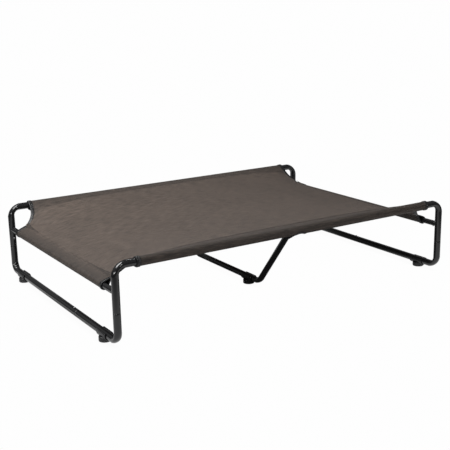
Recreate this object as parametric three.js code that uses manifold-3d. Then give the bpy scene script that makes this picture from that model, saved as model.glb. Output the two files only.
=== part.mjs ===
// Raised dog bed: a knock-down frame of round steel tube that holds a stretched mesh sling.
// Millimetres, +Z up. The origin is on the floor under the middle of the bed, +X runs along
// the long rails and -Y is the front.

import * as THREE from 'three';
import { mergeVertices } from 'three/addons/utils/BufferGeometryUtils.js';
import Module from 'manifold-3d';

const wasm = await Module();
wasm.setup();

// Frame, measured between tube centre lines.
const HALF_LENGTH = 674;
const HALF_WIDTH = 459;
const FOOT_HEIGHT = 12.5; // floor to the underside of the floor tubes
const TUBE_R = 12.5;
const MIDDLE_TUBE_R = 11;
const CROSS_TUBE_R = 10;
const WALL = 1.2;
const FLOOR_Z = FOOT_HEIGHT + TUBE_R;
const RAIL_Z = FLOOR_Z + 246;
const CROSS_Z = FLOOR_Z + 162;
const LEG_JOINT_Z = FLOOR_Z + 96;
const MIDDLE_X = 12; // the joint of the long rails, and the middle support under it

// Bends, measured on the tube centre line.
const CORNER_BEND = 33;
const MIDDLE_BEND = 38;

// Push-fit joints: the reduced end of one tube enters the bore of the next.
const FIT = 0.5; // radial clearance between a bore and what enters it
const SHOULDER_GAP = 0.4;
const SWAGE_LENGTH = 56;
const BUTTON_INSET = 31; // from the mouth of the outer tube to the snap button
const SIDE_FLOOR_JOINT_Y = { left: -153, right: -24 };
const MIDDLE_FLOOR_JOINT_Y = 82;

// Stubs welded to the upper legs, over which the cross tubes slip.
const CROSS_STUB_R = CROSS_TUBE_R - WALL - FIT;
const CROSS_STUB_REACH = 45;
const CROSS_BUTTON_REACH = 24;
const LEG_CLEARANCE = 0.4;

// Piece of tube that joins the two halves of a long rail, with a stub for the middle support.
const CONNECTOR_HALF_LENGTH = 60;
const CONNECTOR_STUB_REACH = 60;
const CONNECTOR_BUTTON_REACH = 38;
const MIDDLE_LEG_REACH = 16; // from the rail centre line to the end of the middle leg

// Middle support, seen along X: the floor corner and the bend below the rail.
const MIDDLE_FLOOR_Y = 222;
const MIDDLE_BEND_Y = 389;
const MIDDLE_BEND_Z = FLOOR_Z + 205;

// Snap buttons, measured from the axis of the tube that they lock.
const PIN_R = 2.8;
const PIN_PROUD = 2.8;
const PIN_DOME = 1.8;
const PIN_HOLE_R = 3.25;
const FLANGE_LIP = 0.9;
const FLANGE_THICKNESS = 1.2;
const LEAF_THICKNESS = 0.8;
const LEAF_WIDTH = 4;
const LEAF_LENGTH = 16;

// Feet.
const FOOT_Y = 362;
const MIDDLE_FOOT_Y = -152;
const FOOT_R = 21;
const PAD_HEIGHT = 17; // the pad cups the underside of the tube
const CLIP_LENGTH = 64;
const CLIP_WALL = 3.1;
const CLIP_MOUTH = THREE.MathUtils.degToRad(55); // half of the opening above the tube

// Sling.
const SHEET_THICKNESS = 2.5;
const RAIL_SLEEVE_HALF = 603;
const RAIL_SLEEVE_BORE_R = 13.7;
const RAIL_SLEEVE_R = 15.4;
const END_SLEEVE_HALF = 380;
const END_SLEEVE_BORE_R = 10.7;
const END_SLEEVE_R = 12.4;
const SAG = 0.45; // how far the sheet drops between the rails, 0 for not at all
const NOTCH_HALF = 30;
const NOTCH_RISE = { outer: -3, inner: 4 }; // top of the notch above the rail's centre line
const BINDING_R = 3;

// Facets.
const TUBE_SIDES = 16;
const PIN_SIDES = 10;
const BINDING_SIDES = 8;
const BEND_STEP = THREE.MathUtils.degToRad(15);
const SHEET_GRID = [22, 14];

const X_AXIS = new THREE.Vector3(1, 0, 0);
const Y_AXIS = new THREE.Vector3(0, 1, 0);
const Z_AXIS = new THREE.Vector3(0, 0, 1);

const PAINTED_STEEL = { color: 0x17181a, roughness: 0.34, metalness: 0.35 };
const BARE_STEEL = { color: 0xb8b9bb, roughness: 0.3, metalness: 1.0 };
const BLACK_PLASTIC = { color: 0x141416, roughness: 0.55, metalness: 0.0 };
const MESH_FABRIC = { color: 0x6a5f58, roughness: 0.8, metalness: 0.0 };
const BINDING_TAPE = { color: 0x1b1b1c, roughness: 0.85, metalness: 0.0 };

const group = new THREE.Group();

function vec(x, y, z) {
  return new THREE.Vector3(x, y, z);
}

/** Adds a named mesh of its own material to the object. */
function addPiece(name, geometry, finish) {
  const mesh = new THREE.Mesh(geometry, new THREE.MeshStandardMaterial(finish));
  mesh.name = name;
  group.add(mesh);
  return mesh;
}

// ---------------------------------------------------------------- solids

function toSolid(geometry) {
  const bare = geometry.clone();
  bare.deleteAttribute('normal');
  bare.deleteAttribute('uv');
  const welded = mergeVertices(bare, 1e-4);
  return new wasm.Manifold(new wasm.Mesh({
    numProp: 3,
    vertProperties: new Float32Array(welded.attributes.position.array),
    triVerts: new Uint32Array(welded.index.array),
  }));
}

function toGeometry(solid) {
  const mesh = solid.getMesh();
  const geometry = new THREE.BufferGeometry();
  geometry.setAttribute('position', new THREE.BufferAttribute(mesh.vertProperties, 3));
  geometry.setIndex(new THREE.BufferAttribute(mesh.triVerts, 1));
  geometry.computeVertexNormals();
  return geometry;
}

/** Round bar of the given length that starts at a point and runs along a unit direction. */
function bar(start, direction, length, radius, sides = TUBE_SIDES) {
  const geometry = new THREE.CylinderGeometry(radius, radius, length, sides);
  geometry.applyQuaternion(new THREE.Quaternion().setFromUnitVectors(Y_AXIS, direction));
  const middle = start.clone().addScaledVector(direction, length / 2);
  geometry.translate(middle.x, middle.y, middle.z);
  return toSolid(geometry);
}

function box(low, high) {
  const size = high.clone().sub(low);
  const geometry = new THREE.BoxGeometry(size.x, size.y, size.z);
  const middle = low.clone().add(high).multiplyScalar(0.5);
  geometry.translate(middle.x, middle.y, middle.z);
  return toSolid(geometry);
}

// ---------------------------------------------------------------- tubes

/** Centre line of a bent tube: straight stretches through the corners, joined by round bends. */
class TubeRun extends THREE.Curve {
  constructor(corners, bendRadius) {
    super();
    this.points = [];
    this.tangents = [];
    const last = corners.length - 1;
    corners.forEach((corner, i) => {
      if (i === 0) this.addStation(corner, direction(corner, corners[1]));
      else if (i === last) this.addStation(corner, direction(corners[i - 1], corner));
      else this.addBend(corners[i - 1], corner, corners[i + 1], bendRadius);
    });
  }

  addStation(point, tangent) {
    this.points.push(point.clone());
    this.tangents.push(tangent.clone());
  }

  addBend(before, corner, after, radius) {
    const arriving = direction(before, corner);
    const leaving = direction(corner, after);
    const turn = arriving.angleTo(leaving);
    const axis = arriving.clone().cross(leaving).normalize();
    const start = corner.clone().addScaledVector(arriving, -radius * Math.tan(turn / 2));
    const toCentre = axis.clone().cross(arriving).multiplyScalar(radius);
    const centre = start.clone().add(toCentre);
    const steps = Math.ceil(turn / BEND_STEP);
    for (let step = 0; step <= steps; step++) {
      const angle = (turn * step) / steps;
      const spoke = toCentre.clone().negate().applyAxisAngle(axis, angle);
      this.addStation(centre.clone().add(spoke), arriving.clone().applyAxisAngle(axis, angle));
    }
  }

  getPointAt(u, target = new THREE.Vector3()) {
    return target.copy(this.points[Math.round(u * (this.points.length - 1))]);
  }

  getTangentAt(u, target = new THREE.Vector3()) {
    return target.copy(this.tangents[Math.round(u * (this.points.length - 1))]);
  }

  getSpacedPoints() {
    return this.points.map((point) => point.clone());
  }
}

function direction(from, to) {
  return to.clone().sub(from).normalize();
}

/** Solid of a round section along a path. A circle takes two sides for each curve segment. */
function extrudeRound(path, steps, radius, sides) {
  const section = new THREE.Shape();
  section.absarc(0, 0, radius, 0, 2 * Math.PI);
  return toSolid(new THREE.ExtrudeGeometry(section, {
    steps,
    extrudePath: path,
    curveSegments: sides / 2,
    bevelEnabled: false,
  }));
}

/** Solid round rod along a run of corners. */
function rod(corners, bendRadius, radius) {
  const run = new TubeRun(corners, bendRadius);
  return extrudeRound(run, run.points.length - 1, radius, TUBE_SIDES);
}

/** The corners with both ends moved outwards, or inwards where the distance is negative. */
function stretched(corners, atStart, atEnd) {
  const moved = corners.map((corner) => corner.clone());
  const last = corners.length - 1;
  moved[0].addScaledVector(direction(corners[1], corners[0]), atStart);
  moved[last].addScaledVector(direction(corners[last - 1], corners[last]), atEnd);
  return moved;
}

/** Open-ended steel tube. A reduced end is added at each end that is named in swaged. */
function pipe(corners, bendRadius, radius, swaged = []) {
  const overlap = 3;
  const bore = radius - WALL;
  const startCut = swaged.includes('start') ? -overlap : 1;
  const endCut = swaged.includes('end') ? -overlap : 1;
  let outside = rod(corners, bendRadius, radius);
  let inside = rod(stretched(corners, startCut, endCut), bendRadius, bore);
  const last = corners.length - 1;
  const ends = { start: [corners[0], corners[1]], end: [corners[last], corners[last - 1]] };
  for (const name of swaged) {
    const [mouth, inner] = ends[name];
    const out = direction(inner, mouth);
    const root = mouth.clone().addScaledVector(out, -overlap);
    const spigotR = bore - FIT;
    outside = outside.add(bar(root, out, overlap + SWAGE_LENGTH, spigotR));
    const boreRoot = root.clone().addScaledVector(out, -overlap);
    inside = inside.add(bar(boreRoot, out, 2 * overlap + SWAGE_LENGTH + 1, spigotR - WALL));
  }
  return outside.subtract(inside);
}

/** Hole for a snap button through one side of a tube. */
function pinHole(onAxis, facing) {
  return bar(onAxis, facing, 2 * TUBE_R, PIN_HOLE_R, 12);
}

/** Short tube welded square to the side of a longer one, cut clear of that tube's bore. */
function addStub(solid, onAxis, out, reach, radius, hostR) {
  const start = onAxis.clone().addScaledVector(out, hostR - 2 * WALL);
  const boreStart = onAxis.clone().addScaledVector(out, hostR + WALL);
  const stub = bar(start, out, reach - hostR + 2 * WALL, radius);
  const stubBore = bar(boreStart, out, reach - hostR, radius - WALL);
  return solid.add(stub).subtract(stubBore);
}

// ---------------------------------------------------------------- snap buttons

/**
 * Sprung button and its leaf, for a joint whose inner tube has the bore innerBoreR and whose
 * outer tube has the outside radius outerR. Local +Z is the way out, +X runs along the tube.
 */
function snapButton(innerBoreR, outerR) {
  const flangeR = PIN_R + FLANGE_LIP;
  const flangeTop = Math.sqrt(innerBoreR ** 2 - flangeR ** 2) - 0.6;
  const flangeBase = flangeTop - FLANGE_THICKNESS;
  const top = outerR + PIN_PROUD;
  const profile = [
    new THREE.Vector2(0, flangeBase),
    new THREE.Vector2(flangeR, flangeBase),
    new THREE.Vector2(flangeR, flangeTop),
    new THREE.Vector2(PIN_R, flangeTop),
  ];
  const domeSteps = 3;
  for (let step = 0; step <= domeSteps; step++) {
    const angle = (step / domeSteps) * (Math.PI / 2);
    const radius = step === domeSteps ? 0 : PIN_R * Math.cos(angle);
    profile.push(new THREE.Vector2(radius, top - PIN_DOME + PIN_DOME * Math.sin(angle)));
  }
  const pin = new THREE.LatheGeometry(profile, PIN_SIDES);
  pin.rotateX(Math.PI / 2);
  const leafTop = flangeBase + LEAF_THICKNESS / 2;
  const leaf = box(
    vec(-flangeR, -LEAF_WIDTH / 2, leafTop - LEAF_THICKNESS),
    vec(LEAF_LENGTH, LEAF_WIDTH / 2, leafTop),
  );
  return toGeometry(toSolid(pin).add(leaf));
}

/** Fixed half of the spring: a strip on the far wall of the bore with an upturned end. */
function springBase(innerBoreR) {
  const low = -Math.sqrt(innerBoreR ** 2 - (LEAF_WIDTH / 2) ** 2) + 0.5;
  const half = LEAF_WIDTH / 2;
  const end = LEAF_LENGTH + 4;
  const strip = box(vec(-5, -half, low), vec(end, half, low + LEAF_THICKNESS));
  const upturn = box(vec(end - LEAF_THICKNESS, -half, low), vec(end, half, -2.6));
  return toGeometry(strip.add(upturn));
}

/** Places a snap button and its spring on a tube axis. */
function addSnapButton(place, onAxis, along, facing, innerBoreR, outerR) {
  const across = facing.clone().cross(along);
  const turn = new THREE.Matrix4().makeBasis(along, across, facing);
  const pieces = [
    addPiece(`button_${place}`, snapButton(innerBoreR, outerR), BARE_STEEL),
    addPiece(`spring_${place}`, springBase(innerBoreR), BARE_STEEL),
  ];
  for (const piece of pieces) {
    piece.quaternion.setFromRotationMatrix(turn);
    piece.position.copy(onAxis);
  }
}

// ---------------------------------------------------------------- frame pieces

const SIDES = { left: -1, right: 1 };
const ENDS = { front: -1, back: 1 };
const SWAGE_BORE_R = TUBE_R - WALL - FIT - WALL;
const MIDDLE_SWAGE_BORE_R = MIDDLE_TUBE_R - WALL - FIT - WALL;

/** Part of a long rail with its elbow, the upper leg and the cross-tube stub. */
function addRailHalf(side, end) {
  const x = SIDES[side] * HALF_LENGTH;
  const y = ENDS[end] * HALF_WIDTH;
  const inward = vec(0, -ENDS[end], 0);
  const corners = [
    vec(MIDDLE_X + SIDES[side] * (CONNECTOR_HALF_LENGTH + SHOULDER_GAP), y, RAIL_Z),
    vec(x, y, RAIL_Z),
    vec(x, y, LEG_JOINT_Z + SHOULDER_GAP / 2),
  ];
  const buttonAt = vec(x, y, LEG_JOINT_Z + BUTTON_INSET);
  const stubAt = vec(x, y, CROSS_Z);
  const stubButtonAt = stubAt.clone().addScaledVector(inward, CROSS_BUTTON_REACH);
  const down = Z_AXIS.clone().negate();
  const tube = pipe(corners, CORNER_BEND, TUBE_R, ['start']);
  const solid = addStub(tube, stubAt, inward, CROSS_STUB_REACH, CROSS_STUB_R, TUBE_R)
    .subtract(pinHole(buttonAt, inward))
    .subtract(pinHole(stubButtonAt, down));
  addPiece(`rail_${end}_${side}`, toGeometry(solid), PAINTED_STEEL);
  addSnapButton(`leg_${end}_${side}`, buttonAt, down, inward, SWAGE_BORE_R, TUBE_R);
  addSnapButton(`cross_${end}_${side}`, stubButtonAt, inward, down,
    CROSS_STUB_R - WALL, CROSS_TUBE_R);
}

/** Floor tube: a lower leg with its share of the bar along the floor. */
function addFloorTube(side, end) {
  const x = SIDES[side] * HALF_LENGTH;
  const y = ENDS[end] * HALF_WIDTH;
  const jointY = SIDE_FLOOR_JOINT_Y[side];
  const isInner = end === 'front';
  const corners = [
    vec(x, y, LEG_JOINT_Z - SHOULDER_GAP / 2),
    vec(x, y, FLOOR_Z),
    vec(x, isInner ? jointY - SHOULDER_GAP : jointY, FLOOR_Z),
  ];
  const swaged = isInner ? ['start', 'end'] : ['start'];
  const legButton = vec(x, y, LEG_JOINT_Z + BUTTON_INSET);
  const floorButton = vec(x, jointY + BUTTON_INSET, FLOOR_Z);
  const solid = pipe(corners, CORNER_BEND, TUBE_R, swaged)
    .subtract(pinHole(legButton, vec(0, -ENDS[end], 0)))
    .subtract(pinHole(floorButton, Z_AXIS));
  addPiece(`floor_tube_${end}_${side}`, toGeometry(solid), PAINTED_STEEL);
  if (isInner) addSnapButton(`floor_${side}`, floorButton, Y_AXIS, Z_AXIS, SWAGE_BORE_R, TUBE_R);
}

/** Bare tube between the two legs of one end, with its ends shaped to the legs. */
function addCrossTube(side) {
  const x = SIDES[side] * HALF_LENGTH;
  const reach = HALF_WIDTH - TUBE_R / 2;
  const ends = [vec(x, -reach, CROSS_Z), vec(x, reach, CROSS_Z)];
  let solid = pipe(ends, 0, CROSS_TUBE_R);
  for (const sign of [-1, 1]) {
    const legFoot = vec(x, sign * HALF_WIDTH, CROSS_Z - 2 * TUBE_R);
    solid = solid
      .subtract(bar(legFoot, Z_AXIS, 4 * TUBE_R, TUBE_R + LEG_CLEARANCE, 2 * TUBE_SIDES))
      .subtract(pinHole(vec(x, sign * (HALF_WIDTH - CROSS_BUTTON_REACH), CROSS_Z),
        Z_AXIS.clone().negate()));
  }
  addPiece(`cross_tube_${side}`, toGeometry(solid), PAINTED_STEEL);
}

/** Unit direction from a rail's centre line towards the bend of the middle support. */
function stubDirection(end) {
  return direction(vec(MIDDLE_X, ENDS[end] * HALF_WIDTH, RAIL_Z),
    vec(MIDDLE_X, ENDS[end] * MIDDLE_BEND_Y, MIDDLE_BEND_Z));
}

/** Middle of a long rail, which both halves push into, with the stub for the middle support. */
function addRailConnector(end) {
  const railAt = vec(MIDDLE_X, ENDS[end] * HALF_WIDTH, RAIL_Z);
  const out = stubDirection(end);
  const start = railAt.clone().addScaledVector(X_AXIS, -CONNECTOR_HALF_LENGTH);
  const boreStart = start.clone().addScaledVector(X_AXIS, -1);
  const sleeve = bar(start, X_AXIS, 2 * CONNECTOR_HALF_LENGTH, TUBE_R);
  const bore = bar(boreStart, X_AXIS, 2 * CONNECTOR_HALF_LENGTH + 2, TUBE_R - WALL);
  const stubR = MIDDLE_TUBE_R - WALL - FIT;
  const buttonAt = railAt.clone().addScaledVector(out, CONNECTOR_BUTTON_REACH);
  const facing = X_AXIS.clone().negate();
  const solid = addStub(sleeve, railAt, out, CONNECTOR_STUB_REACH, stubR, TUBE_R)
    .subtract(bore)
    .subtract(pinHole(buttonAt, facing));
  addPiece(`rail_connector_${end}`, toGeometry(solid), PAINTED_STEEL);
  addSnapButton(`middle_${end}`, buttonAt, out, facing, stubR - WALL, MIDDLE_TUBE_R);
}

/** Half of the middle support: a slanted leg and its share of the middle floor bar. */
function addMiddleSupport(end) {
  const sign = ENDS[end];
  const isInner = end === 'front';
  const jointY = MIDDLE_FLOOR_JOINT_Y;
  const railAt = vec(MIDDLE_X, sign * HALF_WIDTH, RAIL_Z);
  const out = stubDirection(end);
  const corners = [
    railAt.clone().addScaledVector(out, MIDDLE_LEG_REACH),
    vec(MIDDLE_X, sign * MIDDLE_BEND_Y, MIDDLE_BEND_Z),
    vec(MIDDLE_X, sign * MIDDLE_FLOOR_Y, FLOOR_Z),
    vec(MIDDLE_X, isInner ? jointY - SHOULDER_GAP : jointY, FLOOR_Z),
  ];
  const stubButton = railAt.clone().addScaledVector(out, CONNECTOR_BUTTON_REACH);
  const floorButton = vec(MIDDLE_X, jointY + BUTTON_INSET, FLOOR_Z);
  const facing = X_AXIS.clone().negate();
  const solid = pipe(corners, MIDDLE_BEND, MIDDLE_TUBE_R, isInner ? ['end'] : [])
    .subtract(pinHole(stubButton, facing))
    .subtract(pinHole(floorButton, facing));
  addPiece(`middle_support_${end}`, toGeometry(solid), PAINTED_STEEL);
  if (isInner) {
    addSnapButton('floor_middle', floorButton, Y_AXIS, facing, MIDDLE_SWAGE_BORE_R,
      MIDDLE_TUBE_R);
  }
}

// ---------------------------------------------------------------- feet

/** Moulded foot: a round pad under a clip that snaps on to a floor tube from below. */
function footSolid(tubeR) {
  const innerR = tubeR + FIT;
  const outerR = innerR + CLIP_WALL;
  const from = Math.PI / 2 + CLIP_MOUTH;
  const to = 2.5 * Math.PI - CLIP_MOUTH;
  const section = new THREE.Shape();
  section.absarc(0, 0, outerR, from, to, false);
  section.absarc(0, 0, innerR, to, from, true);
  const clip = new THREE.ExtrudeGeometry(section, {
    depth: CLIP_LENGTH,
    curveSegments: 7,
    bevelEnabled: false,
  });
  clip.rotateX(Math.PI / 2);
  clip.translate(0, CLIP_LENGTH / 2, FLOOR_Z);
  const pad = new THREE.LatheGeometry([
    new THREE.Vector2(0, 0),
    new THREE.Vector2(FOOT_R - 1.5, 0),
    new THREE.Vector2(FOOT_R, 1.5),
    new THREE.Vector2(FOOT_R, PAD_HEIGHT - 1.5),
    new THREE.Vector2(FOOT_R - 1.5, PAD_HEIGHT),
    new THREE.Vector2(0, PAD_HEIGHT),
  ], 2 * TUBE_SIDES);
  pad.rotateX(Math.PI / 2);
  const tubeRoom = bar(vec(0, -CLIP_LENGTH, FLOOR_Z), Y_AXIS, 2 * CLIP_LENGTH, innerR + 0.2);
  return toSolid(clip).add(toSolid(pad).subtract(tubeRoom));
}

function addFeet() {
  for (const side of Object.keys(SIDES)) {
    for (const end of Object.keys(ENDS)) {
      const foot = addPiece(`foot_${side}_${end}`, toGeometry(footSolid(TUBE_R)), BLACK_PLASTIC);
      foot.position.set(SIDES[side] * HALF_LENGTH, ENDS[end] * FOOT_Y, 0);
    }
  }
  const foot = addPiece('foot_middle', toGeometry(footSolid(MIDDLE_TUBE_R)), BLACK_PLASTIC);
  foot.position.set(MIDDLE_X, MIDDLE_FOOT_Y, 0);
}

// ---------------------------------------------------------------- sling

/** Height of the stretched sheet: it meets the high rails and the low cross tubes. */
function sheetHeight(x, y) {
  const railZ = RAIL_Z + RAIL_SLEEVE_R - SHEET_THICKNESS / 2;
  const endZ = CROSS_Z + END_SLEEVE_R - SHEET_THICKNESS / 2;
  const fromEnd = Math.max(1 - (x / HALF_LENGTH) ** 2, 1e-6);
  const fromRail = 1 - (y / HALF_WIDTH) ** 2;
  return endZ + (railZ - endZ) * fromEnd / (fromEnd + SAG * fromRail);
}

function sheetSolid() {
  const sheet = new THREE.BoxGeometry(2 * HALF_LENGTH, 2 * HALF_WIDTH, SHEET_THICKNESS,
    ...SHEET_GRID, 1);
  const position = sheet.attributes.position;
  for (let i = 0; i < position.count; i++) {
    const lift = sheetHeight(position.getX(i), position.getY(i));
    position.setZ(i, position.getZ(i) + lift);
  }
  return toSolid(sheet);
}

/** Upright elliptical cutter that takes one corner out of the sheet. */
function cornerCutter(side, end) {
  const cutter = new THREE.CylinderGeometry(1, 1, RAIL_Z, 2 * TUBE_SIDES);
  cutter.rotateX(Math.PI / 2);
  cutter.scale(HALF_LENGTH - RAIL_SLEEVE_HALF, HALF_WIDTH - END_SLEEVE_HALF, 1);
  cutter.translate(SIDES[side] * HALF_LENGTH, ENDS[end] * HALF_WIDTH, CROSS_Z);
  return toSolid(cutter);
}

/** Hem sleeve around a tube: outer bar and its bore, both centred on a point. */
function sleeve(centre, along, half, outerR, boreR) {
  const start = centre.clone().addScaledVector(along, -half);
  const boreStart = centre.clone().addScaledVector(along, -half - 1);
  return {
    outside: bar(start, along, 2 * half, outerR),
    bore: bar(boreStart, along, 2 * half + 2, boreR),
  };
}

function notchBox(fromY, toY, rise) {
  return box(
    vec(MIDDLE_X - NOTCH_HALF, Math.min(fromY, toY), RAIL_Z - 2 * RAIL_SLEEVE_R),
    vec(MIDDLE_X + NOTCH_HALF, Math.max(fromY, toY), RAIL_Z + rise),
  );
}

/** Cut in the underside of a rail sleeve that lets the middle support reach the rail. */
function sleeveNotch(end) {
  const y = ENDS[end] * HALF_WIDTH;
  const reach = ENDS[end] * 2 * RAIL_SLEEVE_R;
  return notchBox(y, y + reach, NOTCH_RISE.outer).add(notchBox(y, y - reach, NOTCH_RISE.inner));
}

function addSling() {
  let solid = sheetSolid();
  const bores = [];
  for (const side of Object.keys(SIDES)) {
    for (const end of Object.keys(ENDS)) solid = solid.subtract(cornerCutter(side, end));
  }
  for (const end of Object.keys(ENDS)) {
    const centre = vec(0, ENDS[end] * HALF_WIDTH, RAIL_Z);
    const hem = sleeve(centre, X_AXIS, RAIL_SLEEVE_HALF, RAIL_SLEEVE_R, RAIL_SLEEVE_BORE_R);
    solid = solid.add(hem.outside);
    bores.push(hem.bore, sleeveNotch(end));
  }
  for (const side of Object.keys(SIDES)) {
    const centre = vec(SIDES[side] * HALF_LENGTH, 0, CROSS_Z);
    const hem = sleeve(centre, Y_AXIS, END_SLEEVE_HALF, END_SLEEVE_R, END_SLEEVE_BORE_R);
    solid = solid.add(hem.outside);
    bores.push(hem.bore);
  }
  for (const bore of bores) solid = solid.subtract(bore);
  addPiece('sling', toGeometry(solid), MESH_FABRIC);
}

/** Rolled tape along the cut edge of one corner of the sling. */
function addCornerBinding(side, end) {
  const clear = BINDING_R + 0.6;
  const reachX = HALF_LENGTH - RAIL_SLEEVE_HALF - clear;
  const reachY = HALF_WIDTH - END_SLEEVE_HALF - clear;
  const points = [];
  const steps = 8;
  for (let step = 0; step <= steps; step++) {
    const angle = THREE.MathUtils.degToRad(20 + (50 * step) / steps);
    const x = SIDES[side] * (HALF_LENGTH - reachX * Math.cos(angle));
    const y = ENDS[end] * (HALF_WIDTH - reachY * Math.sin(angle));
    points.push(vec(x, y, sheetHeight(x, y)));
  }
  const tape = extrudeRound(new THREE.CatmullRomCurve3(points), steps, BINDING_R, BINDING_SIDES);
  addPiece(`corner_binding_${end}_${side}`, toGeometry(tape), BINDING_TAPE);
}

// ---------------------------------------------------------------- assembly

for (const side of Object.keys(SIDES)) {
  for (const end of Object.keys(ENDS)) {
    addRailHalf(side, end);
    addFloorTube(side, end);
    addCornerBinding(side, end);
  }
  addCrossTube(side);
}
for (const end of Object.keys(ENDS)) {
  addRailConnector(end);
  addMiddleSupport(end);
}
addFeet();
addSling();

export default group;
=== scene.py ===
"""Raised dog bed: the fine surfaces, the cloth, the materials and the studio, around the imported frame."""

import math

import bmesh
import bpy
import numpy as np
from mathutils import Matrix, Vector


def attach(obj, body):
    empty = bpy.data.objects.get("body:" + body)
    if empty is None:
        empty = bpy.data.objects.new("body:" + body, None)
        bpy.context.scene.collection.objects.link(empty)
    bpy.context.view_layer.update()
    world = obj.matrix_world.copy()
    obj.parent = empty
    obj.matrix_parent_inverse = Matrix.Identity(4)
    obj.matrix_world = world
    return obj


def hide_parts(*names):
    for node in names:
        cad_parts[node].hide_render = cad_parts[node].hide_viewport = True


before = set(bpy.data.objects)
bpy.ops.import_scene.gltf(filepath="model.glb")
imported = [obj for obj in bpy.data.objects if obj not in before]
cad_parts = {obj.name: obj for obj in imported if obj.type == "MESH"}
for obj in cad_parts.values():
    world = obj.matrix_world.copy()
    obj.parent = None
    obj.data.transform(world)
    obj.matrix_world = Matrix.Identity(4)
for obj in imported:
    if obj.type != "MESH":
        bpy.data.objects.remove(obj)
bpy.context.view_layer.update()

SIDES = {"left": -1, "right": 1}
ENDS = {"front": -1, "back": 1}

# The frame, in metres, measured between tube centre lines.
HALF_LENGTH, HALF_WIDTH = 0.674, 0.459
RAIL_Z, CROSS_Z, JOINT_Z, FLOOR_Z = 0.271, 0.187, 0.121, 0.025
MIDDLE_X = 0.012
TUBE_R, MIDDLE_R, CROSS_R, WALL = 0.0125, 0.011, 0.010, 0.0012
FIT, GAP, SWAGE = 0.0005, 0.0004, 0.056
CONNECTOR_HALF = 0.060
CORNER_BEND, MIDDLE_BEND = 0.033, 0.038
FLOOR_JOINT_Y = {"left": -0.153, "right": -0.024, "middle": 0.082}
BUTTON_INSET, CROSS_BUTTON, MIDDLE_BUTTON = 0.031, 0.024, 0.038
BUTTON_HOLE_R = 0.00325
STUB_R, STUB_BORE, STUB_REACH = 0.0083, 0.0071, 0.0337
MIDDLE_STUB_R, MIDDLE_STUB_BORE, MIDDLE_STUB_REACH = 0.0093, 0.0081, 0.0485
MIDDLE_TOP, MIDDLE_FOOT = (0.389, FLOOR_Z + 0.205), 0.222  # where the slanted legs bend
FOOT_Y, MIDDLE_FOOT_Y, CLIP_HALF = 0.362, -0.152, 0.032

# The cloth's middle surface.
CLOTH = 0.0013
RAIL_LOOP_R, END_LOOP_R = 0.0146, 0.0115
RAIL_END_X, CROSS_END_Y = 0.603, 0.380
RAIL_STRIP, END_STRIP = 0.050, 0.030
RAIL_SEAM, END_SEAM = 0.040, 0.031
DIP = 0.008
NOTCH_HALF, NOTCH_TOP = 0.030, -0.0095
ROUNDNESS = 2.6
CORNER_TAPE, NOTCH_TAPE = (0.0145, 0.0024), (0.0085, 0.0016)  # width and half thickness
STITCH = 0.0034


# ---- camera and studio


def placed(name, data):
    made = bpy.data.objects.new(name, data)
    bpy.context.scene.collection.objects.link(made)
    return made


def make_camera():
    yaw, pitch, roll = (math.radians(a) for a in (32.17, 14.73, -1.16))
    ahead = Vector((math.sin(yaw) * math.cos(pitch), math.cos(yaw) * math.cos(pitch), -math.sin(pitch)))
    level = Vector((math.cos(yaw), -math.sin(yaw), 0))
    rise = level.cross(ahead)
    right = math.cos(roll) * level + math.sin(roll) * rise
    up = math.cos(roll) * rise - math.sin(roll) * level
    data = bpy.data.cameras.new("camera")
    data.sensor_width = 36
    data.lens = 70.16
    camera = placed("camera", data)
    turn = Matrix((right, up, -ahead)).transposed().to_4x4()
    turn.translation = (-1.7228, -2.7511, 1.0463)
    camera.matrix_world = turn
    bpy.context.scene.camera = camera


def soft_box(name, place, aim, size, power):
    data = bpy.data.lights.new(name, "AREA")
    data.shape = "RECTANGLE"
    data.size, data.size_y = size
    data.energy = power
    light = placed(name, data)
    light.location = place
    light.rotation_euler = (Vector(aim) - Vector(place)).to_track_quat("-Z", "Y").to_euler()
    light.visible_camera = False
    return light


def make_surround():
    """Dim room: a little light from above, less from below."""
    world = bpy.data.worlds.new("studio")
    bpy.context.scene.world = world
    world.use_nodes = True
    n = Nodes(world.node_tree)
    split = n.node("SeparateXYZ", (0, n.node("TexCoord").outputs["Generated"]))
    height = n.node("MapRange", ("Value", split.outputs["Z"]), ("From Min", -1))
    grey = n.ramp(height.outputs[0], (0.45, 0.02), (0.70, 0.16))
    n.tree.links.new(grey, n.tree.nodes["Background"].inputs["Color"])


def make_lights():
    make_surround()
    soft_box("top_box", (-1.35, 0.55, 2.0), (-0.2, 0.1, 0.2), (1.3, 1.3), 37)
    soft_box("top_strip", (0.62, 0.10, 2.25), (0.0, 0.0, 0.2), (1.5, 0.08), 10)
    soft_box("left_strip", (-2.6, -0.9, 0.75), (0, 0, 0.2), (1.6, 0.14), 11)
    soft_box("elbow_strip", (-1.0, -1.7, 2.2), (0, 0, 0.2), (0.9, 0.05), 7)
    soft_box("front_strip", (1.25, -2.35, 1.35), (0, 0, 0.2), (0.8, 0.12), 8)
    fill = soft_box("front_fill", (-0.4, -3.0, 1.0), (0, 0, 0.2), (2.4, 1.4), 4)
    fill.visible_glossy = False


def glow(name, pattern, *stops):
    """Emitting paper. pattern gives a value over it, and stops the grey at each value."""
    material = bpy.data.materials.new(name)
    material.use_nodes = True
    n = Nodes(material.node_tree)
    n.tree.nodes.clear()
    light = n.node("Emission", ("Color", n.ramp(pattern(n), *stops)))
    n.tree.links.new(light.outputs[0], n.node("OutputMaterial").inputs["Surface"])
    return material


def painted_contact_shadow(n):
    """Painted contact shadow: less than 1 close to whatever stands on the paper, which darkens the glowing
    paper there.
    """
    return n.node("AmbientOcclusion", ("Distance", 0.035)).outputs["AO"]


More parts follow.
